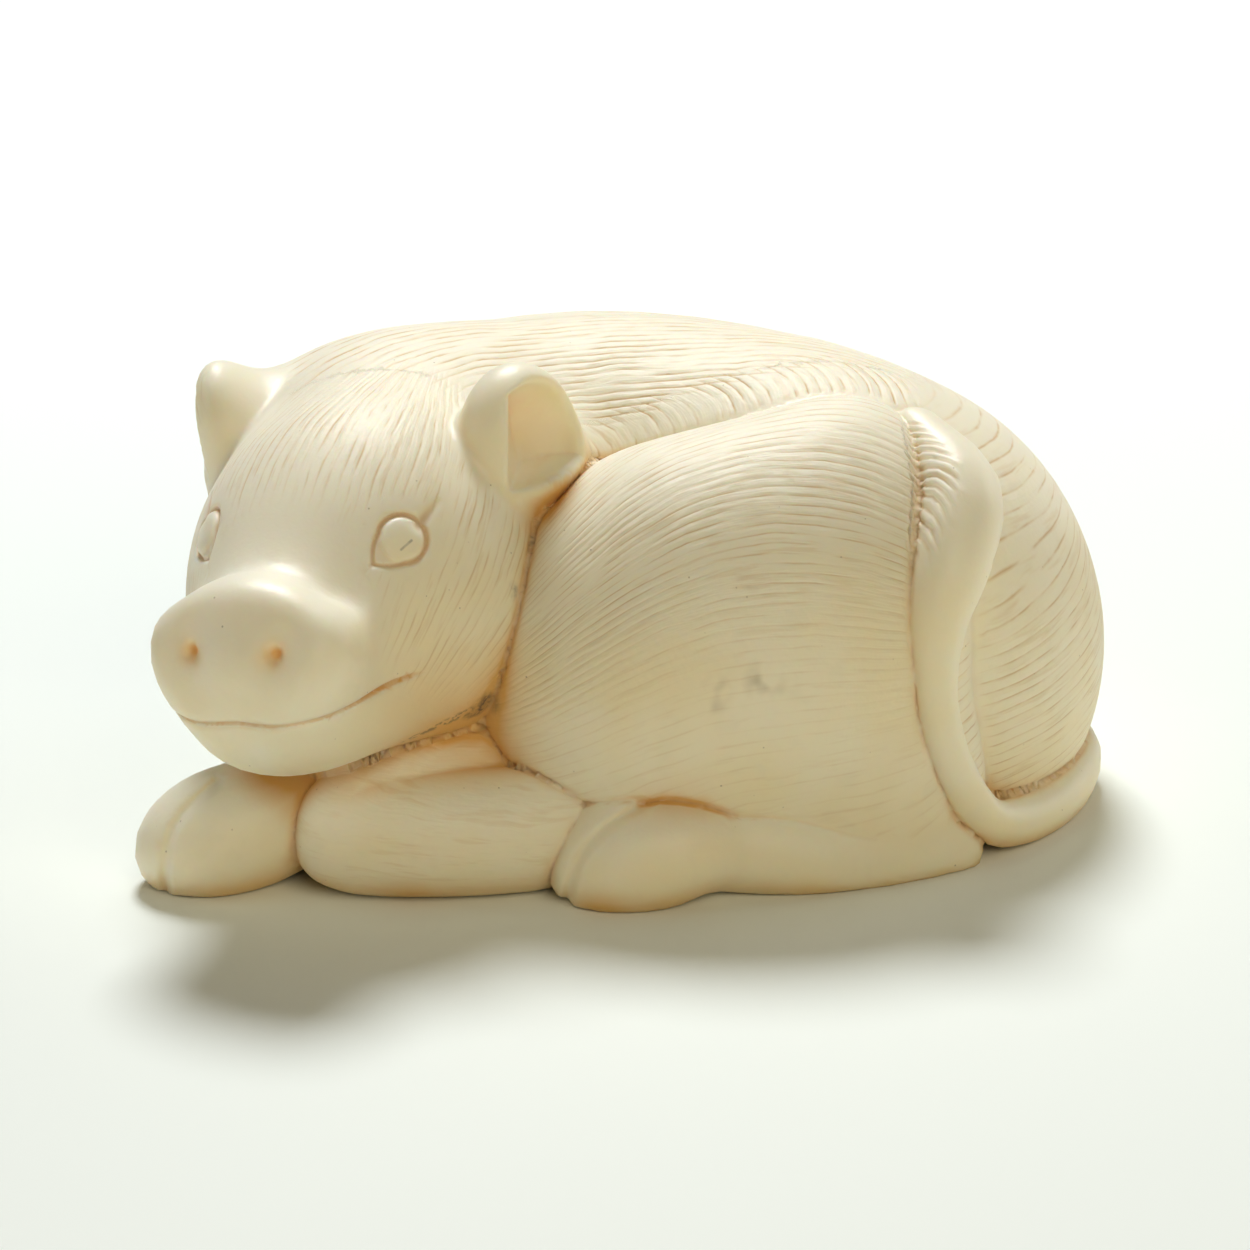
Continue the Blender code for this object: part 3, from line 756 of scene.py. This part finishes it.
def longestEdge(points):
    parts = partsOf(points)
    order = inOrder(parts)
    longest = np.where(points[:, 1] < 6.0, surfaceWork["nearEdge"], surfaceWork["farEdge"])
    crease = (order[1] - order[0] < 0.45) & (np.abs(parts["body"] - parts["head"]) > 0.8)
    crease = crease & (points[:, 2] > 1.0)
    longest[crease] = surfaceWork["creaseEdge"]
    for name, (_, _, _, line, side) in feet.items():
        inCleft = (cleft(points, footForm[line], side) > 0.02) & (parts[name] < 0.6)
        longest[inCleft] = surfaceWork["cleftEdge"]
    both = folded(inHead(points))
    face = np.linalg.norm(points - headCentre, axis=1) < 22
    cuts = faceLines(both)
    longest[face & (ear(both, headForm["nearEar"]) < 0.5)] = surfaceWork["earEdge"]
    onHead = face & (parts["head"] < order[0] + 0.5)
    lips = np.maximum(cuts["mouth"], cuts["tear"]) > 0.02
    longest[onHead & lips] = surfaceWork["lipEdge"]
    fine = np.maximum(np.maximum(cuts["eye"], cuts["corner"]), cuts["bowl"]) > 0.02
    run, across, height = eyePlane(both)
    fine = fine | ((np.hypot(run, across) < 1.6) & (np.abs(height) < 2.5))
    longest[onHead & fine] = surfaceWork["faceEdge"]
    return longest


def startSurface():
    # a copy of the CAD solid, merged and remeshed finer
    bpy.ops.object.select_all(action="DESELECT")
    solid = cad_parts["reclining_pig"]
    solid.select_set(True)
    bpy.context.view_layer.objects.active = solid
    bpy.ops.object.duplicate()
    pig = bpy.context.object
    pig.name = pig.data.name = "pigCarving"
    bpy.ops.object.mode_set(mode="EDIT")
    bpy.ops.mesh.select_all(action="SELECT")
    bpy.ops.mesh.remove_doubles(threshold=0.000002)
    bpy.ops.object.mode_set(mode="OBJECT")
    remesh = pig.modifiers.new("evenSkin", "REMESH")
    remesh.mode = "VOXEL"
    remesh.voxel_size = surfaceWork["voxel"]
    bpy.ops.object.modifier_apply(modifier=remesh.name)
    return pig


def readMesh(pig):
    flat = np.empty(len(pig.data.vertices) * 3)
    pig.data.vertices.foreach_get("co", flat)
    pig.data.calc_loop_triangles()
    faces = np.empty(len(pig.data.loop_triangles) * 3, int)
    pig.data.loop_triangles.foreach_get("vertices", faces)
    return flat.reshape(-1, 3) / pose["unit"] + pose["stand"], faces.reshape(-1, 3)


def metres(units):
    return (np.array(units) - pose["stand"]) * pose["unit"]


def writePoints(pig, points):
    pig.data.vertices.foreach_set("co", metres(points).ravel())
    pig.data.update()


def rebuildMesh(pig, points, faces):
    old = pig.data
    made = bpy.data.meshes.new("pigCarving")
    made.from_pydata(metres(points).tolist(), [], faces.tolist())
    pig.data = made
    bpy.data.meshes.remove(old)
    made.shade_smooth()


def shelterOf(points, faces, outward):
    # how far the figure itself and the table close a place in: 0 open, 1 buried
    tree = BVHTree.FromPolygons(points.tolist(), faces.tolist())
    reach, rays = surfaceWork["shelterReach"], surfaceWork["shelterRays"]
    beside = np.cross(outward, np.where(np.abs(outward[:, :1]) < 0.7, [[1.0, 0, 0]], [[0, 1.0, 0]]))
    beside /= np.linalg.norm(beside, axis=1)[:, None]
    across = np.cross(outward, beside)
    starts = (points + 0.06 * outward).tolist()
    height = points[:, 2] - pose["stand"][2]
    closed = np.zeros(len(points))
    for k in range(rays):
        spread, turn = math.sqrt((k + 0.5) / rays), k * surfaceWork["rayTurn"]
        way = spread * (math.cos(turn) * beside + math.sin(turn) * across)
        way = way + math.sqrt(1 - spread * spread) * outward
        found = np.array([tree.ray_cast(a, b, reach)[3] or reach for a, b in zip(starts, way.tolist())])
        table = np.where(way[:, 2] < -0.01, -height / np.minimum(way[:, 2], -0.01), reach)
        closed += 1 - np.clip(np.minimum(found, table) / reach, 0, 1)
    return closed / rays


# What the carving leaves at each point for the shader
foundNames = ["groove", "cavity", "seam", "shelter", "paintedTopLight", "hair", "strand", "rim", "mouth", "pit"]


def evenSkin(pig):
    # lays the remeshed solid on the form's own skin, with fine faces only where there is fine work
    points, faces = readMesh(pig)
    for amount in surfaceWork["evenings"]:
        points = pullOntoSkin(evenOut(points, faces, amount), 1)
    writePoints(pig, points)
    print("skin", len(points), "points")
    thin = pig.modifiers.new("thinned", "DECIMATE")
    thin.ratio = surfaceWork["kept"] / len(faces)
    bpy.ops.object.modifier_apply(modifier=thin.name)
    points, faces = readMesh(pig)
    for _ in range(4):
        points, faces = refine(points, faces, longestEdge)
    points = pullOntoSkin(evenOut(points, faces, 0.15), 2)
    print("refined", len(faces), "triangles")
    return points, faces


def cutEdges(points, faces):
    # rows of place, shelter, then phase and strength of each stretch of the coat and each sharp line
    shelter = shelterOf(points, faces, outwardOf(points, skinOf(points)))
    print("shelter found")
    parts = partsOf(points)
    coat = hairOf(points, parts)
    lines = linesOf(points, parts)
    columns = [column for name in coat for column in coat[name]]
    columns += [column for name in lines for column in lines[name]]
    rows = np.column_stack([points, shelter] + columns)
    for k, name in enumerate(coat):
        half = hairStyle[name]["half"]
        snap = min(0.07, 0.3 * half)
        stride = surfaceWork["strokeStep"]
        rows, faces = engrave(rows, faces, 4 + 2 * k, (-half, 0.0, half), stride, snap)
        print("engraved", name, len(faces), "triangles")
    for k in range(len(coat), len(coat) + len(lines)):
        rows, faces = engrave(rows, faces, 4 + 2 * k, surfaceWork["lineSteps"], 1, 0.03)
    print("sharpened", len(faces), "triangles")
    return rows, faces


def strokesAt(points, rows, coat):
    # how deep the strokes cut, how strong they show, and the nearest coat's strength and phase
    sink, groove, hair, strand = np.zeros((4, len(points)))
    for k, name in enumerate(coat):
        style = hairStyle[name]
        phase, strength = rows[:, 4 + 2 * k], coat[name][1]
        line = np.round(phase)
        stroke = np.clip(1 - np.abs(phase - line) / style["half"], 0, 1)
        shifted = points + line[:, None] * np.array(surfaceWork["strokeShift"])
        lasting = ease(-1.0, 0.6, unevenness(shifted, 0.7, 11) + 1.1 - 2.2 * style["breaks"])
        lasting = np.where(style["breaks"] > 0, lasting, 1.0)
        depth = style["depth"] * strength * (0.75 + 0.25 * unevenness(shifted, 2.5, 12)) * lasting
        sink = np.maximum(sink, depth * stroke)
        groove = np.maximum(groove, stroke * strength * lasting * style["stain"])
        strand = np.where(strength > hair, phase, strand)
        hair = np.maximum(hair, strength)
    return sink, groove, hair, strand


def carvePig():
    pig = startSurface()
    rows, faces = cutEdges(*evenSkin(pig))
    points = pullOntoSkin(rows[:, :3], 1)
    parts = partsOf(points)
    outward = outwardOf(points, skinOf(points, parts))
    close = skinOf(points + 0.6 * outward) / 0.6
    wide = skinOf(points + 1.8 * outward) / 1.8
    cavity = np.clip(1.0 - 0.5 * (np.clip(close, -1, 1) + np.clip(wide, -1, 1)), 0, 1)
    sink, groove, hair, strand = strokesAt(points, rows, hairOf(points, parts))
    points = points - outward * sink[:, None]
    points[:, 2] = np.maximum(points[:, 2], pose["stand"][2])
    rebuildMesh(pig, points, faces)
    seams = list(linesOf(points, parts).values())[2:]  # without the eye's rim and the lips
    seam = np.max([real * bell(side, surfaceWork["seamHalf"]) for side, real in seams], axis=0)
    cuts = faceLines(folded(inHead(points)))
    onHead = parts["head"] < 0.3
    rim = np.maximum(np.maximum(cuts["eye"], cuts["corner"]), 0.7 * cuts["tear"])
    found = {
        "groove": groove,
        "cavity": cavity,
        "seam": seam,
        "shelter": rows[:, 3],
        # painted light: how far each point faces up, so that upward faces can be painted paler
        "paintedTopLight": outward[:, 2],
        "hair": hair,
        "strand": strand,
        "rim": onHead * rim,
        "mouth": onHead * cuts["mouth"],
        "pit": onHead * np.maximum(cuts["pit"], 0.6 * cuts["bowl"]),
    }
    for name in foundNames:
        layer = pig.data.attributes.new(name, "FLOAT", "POINT")
        layer.data.foreach_set("value", np.asarray(found[name], np.float32))
    print("carved", len(faces), "triangles")
    return pig


class Shade:
    # a shader socket that sums can be written with
    def __init__(self, bench, socket):
        self.bench = bench
        self.socket = socket

    def maths(self, operation, *values):
        return self.bench.node("ShaderNodeMath", {"operation": operation}, dict(enumerate(values)))

    def __add__(self, other):
        return self.maths("ADD", self, other)

    __radd__ = __add__

    def __sub__(self, other):
        return self.maths("SUBTRACT", self, other)

    def __rsub__(self, other):
        return self.maths("SUBTRACT", other, self)

    def __mul__(self, other):
        return self.maths("MULTIPLY", self, other)

    __rmul__ = __mul__

    def __pow__(self, other):
        return self.maths("POWER", self, other)

    def cut(self):
        return self.maths("MINIMUM", self, 1.0)

    def ramp(self, low, high):
        # 0 at low and 1 at high, eased at both ends
        settings = {"interpolation_type": "SMOOTHSTEP"}
        return self.bench.node("ShaderNodeMapRange", settings, {0: self, 1: low, 2: high, 3: 0.0, 4: 1.0})


class Bench:
    def __init__(self, name):
        self.material = bpy.data.materials.new(name)
        self.material.use_nodes = True
        self.tree = self.material.node_tree
        self.surface = self.tree.nodes["Principled BSDF"]
        self.placed = 0

    def node(self, kind, settings=None, values=None, output=0):
        made = self.tree.nodes.new(kind)
        made.location = (-220 * (1 + self.placed % 12), -180 * (self.placed // 12))
        self.placed += 1
        for key, value in (settings or {}).items():
            setattr(made, key, value)
        for key, value in (values or {}).items():
            self.feed(made.inputs[key], value)
        return Shade(self, made.outputs[output])

    def feed(self, socket, value):
        if isinstance(value, Shade):
            self.tree.links.new(value.socket, socket)
        else:
            socket.default_value = value

    def finish(self, **values):
        for key, value in values.items():
            self.feed(self.surface.inputs[key.replace("_", " ")], value)

    def attribute(self, name):
        return self.node("ShaderNodeAttribute", {"attribute_name": name}, output=2)

    def noise(self, place, scale, detail=2.0, roughness=0.5):
        values = {"Vector": place, "Scale": scale, "Detail": detail, "Roughness": roughness}
        return self.node("ShaderNodeTexNoise", None, values)

    def near(self, place, spot, reach, core):
        # 1 within the core of a spot given in the pose's units, 0 past its reach
        values = {0: place, 1: tuple(metres(spot))}
        away = self.node("ShaderNodeVectorMath", {"operation": "DISTANCE"}, values, output=1)
        return away.ramp(reach * pose["unit"], core * reach * pose["unit"])

    def nearLine(self, place, start, end, reach, core):
        # the same round the line between two spots
        start = metres(start)
        along = metres(end) - start
        away = self.node("ShaderNodeVectorMath", {"operation": "SUBTRACT"}, {0: place, 1: tuple(start)})
        onward = {0: away, 1: tuple(along / (along @ along))}
        share = self.node("ShaderNodeVectorMath", {"operation": "DOT_PRODUCT"}, onward, output=1)
        share = self.node("ShaderNodeClamp", None, {0: share})
        foot = self.node("ShaderNodeVectorMath", {"operation": "SCALE"}, {0: tuple(along), 3: share})
        gap = self.node("ShaderNodeVectorMath", {"operation": "DISTANCE"}, {0: away, 1: foot}, output=1)
        return gap.ramp(reach * pose["unit"], core * reach * pose["unit"])

    def tint(self, amount, under, over):
        return self.node("ShaderNodeMix", {"data_type": "RGBA"}, {0: amount, 6: under, 7: over}, output=2)


# Colours are linear, sizes in metres
ivoryFinish = {
    "cream": (0.92, 0.84, 0.63, 1.0),
    # painted light: the paler colour painted on upward faces
    "paintedTopLight": (0.95, 0.925, 0.80, 1.0),
    "cloud": (0.90, 0.78, 0.50, 1.0),
    "ash": (0.86, 0.785, 0.57, 1.0),
    # painted shade: the warm brown laid where the figure and the table close a place in
    "paintedShadeTint": (0.78, 0.47, 0.16, 1.0),
    "strokeStain": (0.64, 0.43, 0.18, 1.0),
    # painted shade: the brown laid in deep creases
    "paintedCreaseShade": (0.66, 0.36, 0.12, 1.0),
    "seamStain": (0.36, 0.19, 0.075, 1.0),
    "rimStain": (0.64, 0.37, 0.15, 1.0),
    "pitStain": (0.90, 0.57, 0.18, 1.0),
    "dirt": (0.055, 0.05, 0.055, 1.0),
    "speck": (0.24, 0.17, 0.10, 1.0),
    "smoke": (0.30, 0.24, 0.13, 1.0),
    "roughness": 0.43,
    "strandBump": 0.00006,
    "skinBump": 0.000012,
    "scatter": 0.4,
    "scatterReach": 0.0028,
    "scatterColour": (1.0, 0.62, 0.28),
}
# Places of painted warm shade, of dirt and of smudges in the pose's units, with their reach
paintedShadeSpots = [
    ((-8.8, -15.6, 11.7), 6.0, 1.0),
    ((-13.0, -19.5, 12.0), 5.5, 0.7),
    ((-11.5, -17.6, 13.6), 5.0, 0.8),
    ((-20.2, -15.5, 6.8), 3.6, 0.8),
    ((-18.8, -22.7, 10.0), 3.6, 0.9),
    ((-16.8, -19.0, 8.9), 2.6, 0.5),
    ((-3.9, -9.6, 22.1), 2.6, 0.7),
    ((3.0, -18.0, 6.0), 4.2, 1.0),
    ((-1.5, -20.8, 0.8), 2.6, 0.45),
    ((-13.0, -20.0, 0.8), 3.0, 0.35),
]
dirtSpots = [
    ((-8.6, -15.5, 11.4), 1.5, 1.0),
    ((-6.8, -14.2, 18.4), 0.9, 0.8),
]
# Lines of dirt: both ends, reach, amount and how broken up they are
dirtLines = [
    ((-12.98, -17.52, 22.02), (-12.38, -17.03, 22.42), 0.12, 0.45, 0.3),
    ((-9.2, -15.7, 11.2), (-12.8, -16.9, 9.9), 0.55, 0.6, 1.0),
]
smudges = [((5.2, -18.8, 13.5), 1.4, 0.55), ((8.2, -18.4, 14.2), 1.6, 0.5), ((7.0, -17.0, 19.5), 1.1, 0.25)]


def makeIvory():
    bench = Bench("agedIvory")
    finish = ivoryFinish
    place = bench.node("ShaderNodeTexCoord", output=3)
    groove, cavity, seam, shelter, paintedTopLight, hair, strand, rim, mouth, pit = map(bench.attribute, foundNames)

    broad = bench.noise(place, 110.0, 2.0, 0.55)
    patchy = bench.noise(place, 420.0, 2.0, 0.6)
    grain = bench.noise(place, 2600.0, 1.0, 0.6)
    # painted shade: warmer and darker where the figure and the table close a place in, and round the listed
    # shaded spots
    closed = shelter.ramp(0.2, 0.75) * (0.65 + 0.35 * broad.ramp(0.35, 0.6))
    spotShade = 0.0
    for spot, reach, amount in paintedShadeSpots:
        spotShade = bench.near(place, spot, reach, 0.1) * amount + spotShade
    closed = closed * 0.75 + spotShade * (0.25 + 0.75 * shelter.ramp(0.05, 0.4))

    along, across, upward = (
        bench.node("ShaderNodeSeparateXYZ", None, {0: place}, output=axis) for axis in range(3)
    )
    flow = {0: strand * 1.6, 1: along * 260.0, 2: across * 170.0 + upward * 260.0}
    flow = bench.node("ShaderNodeCombineXYZ", None, flow)
    streak = bench.noise(flow, 1.0, 2.0, 0.6)

    inStroke = (groove ** 1.4) * (0.35 + 0.65 * patchy.ramp(0.36, 0.60))
    # painted shade: darker in deep creases that the figure closes in
    deep = cavity.ramp(0.6, 1.1) * (0.15 + 0.85 * shelter.ramp(0.3, 0.6))
    deep = deep * (0.45 + 0.55 * patchy.ramp(0.30, 0.62))
    thin = seam.ramp(0.2, 1.0) * (0.05 + 0.5 * shelter.ramp(0.3, 0.65))
    speckle = bench.node("ShaderNodeTexVoronoi", None, {"Vector": place, "Scale": 760.0})
    specks = speckle.ramp(0.065, 0.035) * bench.noise(place, 300.0, 1.0).ramp(0.50, 0.62)
    crumbs = bench.noise(place, 1900.0, 2.0, 0.7)
    soot = 0.0
    for spot, reach, amount in dirtSpots:
        loose = (0.45 + 0.55 * crumbs.ramp(0.36, 0.54)) * shelter.ramp(0.2, 0.45)
        soot = bench.near(place, spot, reach, 0.4) * amount * loose + soot
    for start, end, reach, amount, broken in dirtLines:
        loose = 1.0 - broken + broken * crumbs.ramp(0.46, 0.60)
        soot = bench.nearLine(place, start, end, reach, 0.2) * amount * loose + soot
    smoke = 0.0
    for spot, reach, amount in smudges:
        smoke = bench.near(place, spot, reach, 0.1) * amount * patchy.ramp(0.40, 0.62) + smoke

    # what lies over the cream, each over the one before
    layers = [
        ("cloud", broad.ramp(0.38, 0.66) * 0.75),
        ("ash", patchy.ramp(0.52, 0.74) * 0.5),
        # painted light: upward faces are painted paler, as if lit from above
        ("paintedTopLight", paintedTopLight.ramp(0.1, 0.9) * 0.8),
        # painted shade, warm, in enclosed places and round the listed spots
        ("paintedShadeTint", closed.cut()),
        ("strokeStain", inStroke * 0.75),
        ("strokeStain", streak.ramp(0.54, 0.70) * hair * 0.22),
        # painted shade in deep creases
        ("paintedCreaseShade", deep * 0.25),
        ("seamStain", thin * (0.5 + 0.5 * patchy.ramp(0.34, 0.6))),
        ("rimStain", rim.ramp(0.1, 1.0) * 0.55),
        ("rimStain", mouth.ramp(0.1, 1.0) * 0.3),
        ("pitStain", pit.ramp(0.02, 0.9) * 0.9),
        ("speck", specks * 0.5),
        ("dirt", soot),
        ("smoke", smoke),
    ]
    colour = finish["cream"]
    for name, amount in layers:
        colour = bench.tint(amount, colour, finish[name])

    rough = finish["roughness"] + 0.12 * groove + 0.12 * hair + 0.10 * (grain - 0.5)
    strandHeight = (streak - 0.5) * hair * finish["strandBump"]
    height = strandHeight + (grain - 0.5) * finish["skinBump"]
    bump = bench.node("ShaderNodeBump", None, {"Strength": 1.0, "Distance": 1.0, "Height": height})
    bench.finish(Base_Color=colour, Roughness=rough, Normal=bump, Metallic=0.0, IOR=1.5)
    bench.finish(Subsurface_Weight=finish["scatter"], Subsurface_Scale=finish["scatterReach"])
    bench.finish(Subsurface_Radius=finish["scatterColour"])
    return bench.material


studio = {
    "target": (0.0, 0.0, 11.0),  # units of the pose, as the distance
    "distance": 330.0,
    "elevation": 20.0,
    "lens": 16.2 * 330.0 * 36.0 / 1250.0,  # a unit at the target is 16.2 of 1250 pixels
    "floor": (0.885, 0.96, 0.965, 1.0),
    "sky": (1.0, 0.66, 0.36, 1.0),
    "skyStrength": 0.04,
    "lamps": [
        # name, place (m), size (m), power (W), colour
        ("window", (-0.03, 0.32, 0.48), 0.20, 3.0, (1.0, 1.0, 0.98)),
        ("leftCard", (-0.53, -0.09, 0.13), 0.35, 0.4, (1.0, 0.97, 0.90)),
        ("rightCard", (0.46, 0.26, 0.15), 0.35, 0.6, (1.0, 0.98, 0.93)),
        ("frontCard", (0.17, -0.43, 0.33), 0.40, 0.98, (1.0, 0.88, 0.62)),
    ],
}


def setStudio():
    bpy.ops.mesh.primitive_plane_add(size=3.0, location=(0, 0, 0))
    floor = bpy.context.object
    floor.name = floor.data.name = "paleTable"
    bench = Bench("palePaper")
    bench.finish(Base_Color=studio["floor"], Roughness=0.7)
    floor.data.materials.append(bench.material)

    target = Vector(metres(studio["target"]))
    for name, spot, size, power, colour in studio["lamps"]:
        lamp = bpy.data.lights.new(name, "AREA")
        lamp.shape = "DISK"
        lamp.size = size
        lamp.energy = power
        lamp.color = colour
        holder = bpy.data.objects.new(name, lamp)
        holder.location = spot
        holder.rotation_euler = (target - Vector(spot)).to_track_quat("-Z", "Y").to_euler()
        bpy.context.scene.collection.objects.link(holder)

    sky = bpy.data.worlds.new("paleSky")
    sky.use_nodes = True
    background = sky.node_tree.nodes["Background"]
    background.inputs["Color"].default_value = studio["sky"]
    background.inputs["Strength"].default_value = studio["skyStrength"]
    bpy.context.scene.world = sky

    view = bpy.data.cameras.new("photoCamera")
    view.lens = studio["lens"]
    view.sensor_width = 36.0
    view.clip_start = 0.01
    camera = bpy.data.objects.new("photoCamera", view)
    rise = math.radians(studio["elevation"])
    back = studio["distance"] * pose["unit"]
    camera.location = target + Vector((0, -math.cos(rise) * back, math.sin(rise) * back))
    camera.rotation_euler = (math.radians(90) - rise, 0, 0)
    bpy.context.scene.collection.objects.link(camera)
    bpy.context.scene.camera = camera
    bpy.context.scene.view_settings.view_transform = "Standard"


pig = carvePig()
pig.data.materials.clear()
pig.data.materials.append(makeIvory())
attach(pig, "root")
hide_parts("reclining_pig")
print("ivory laid on")
setStudio()
print("studio set")
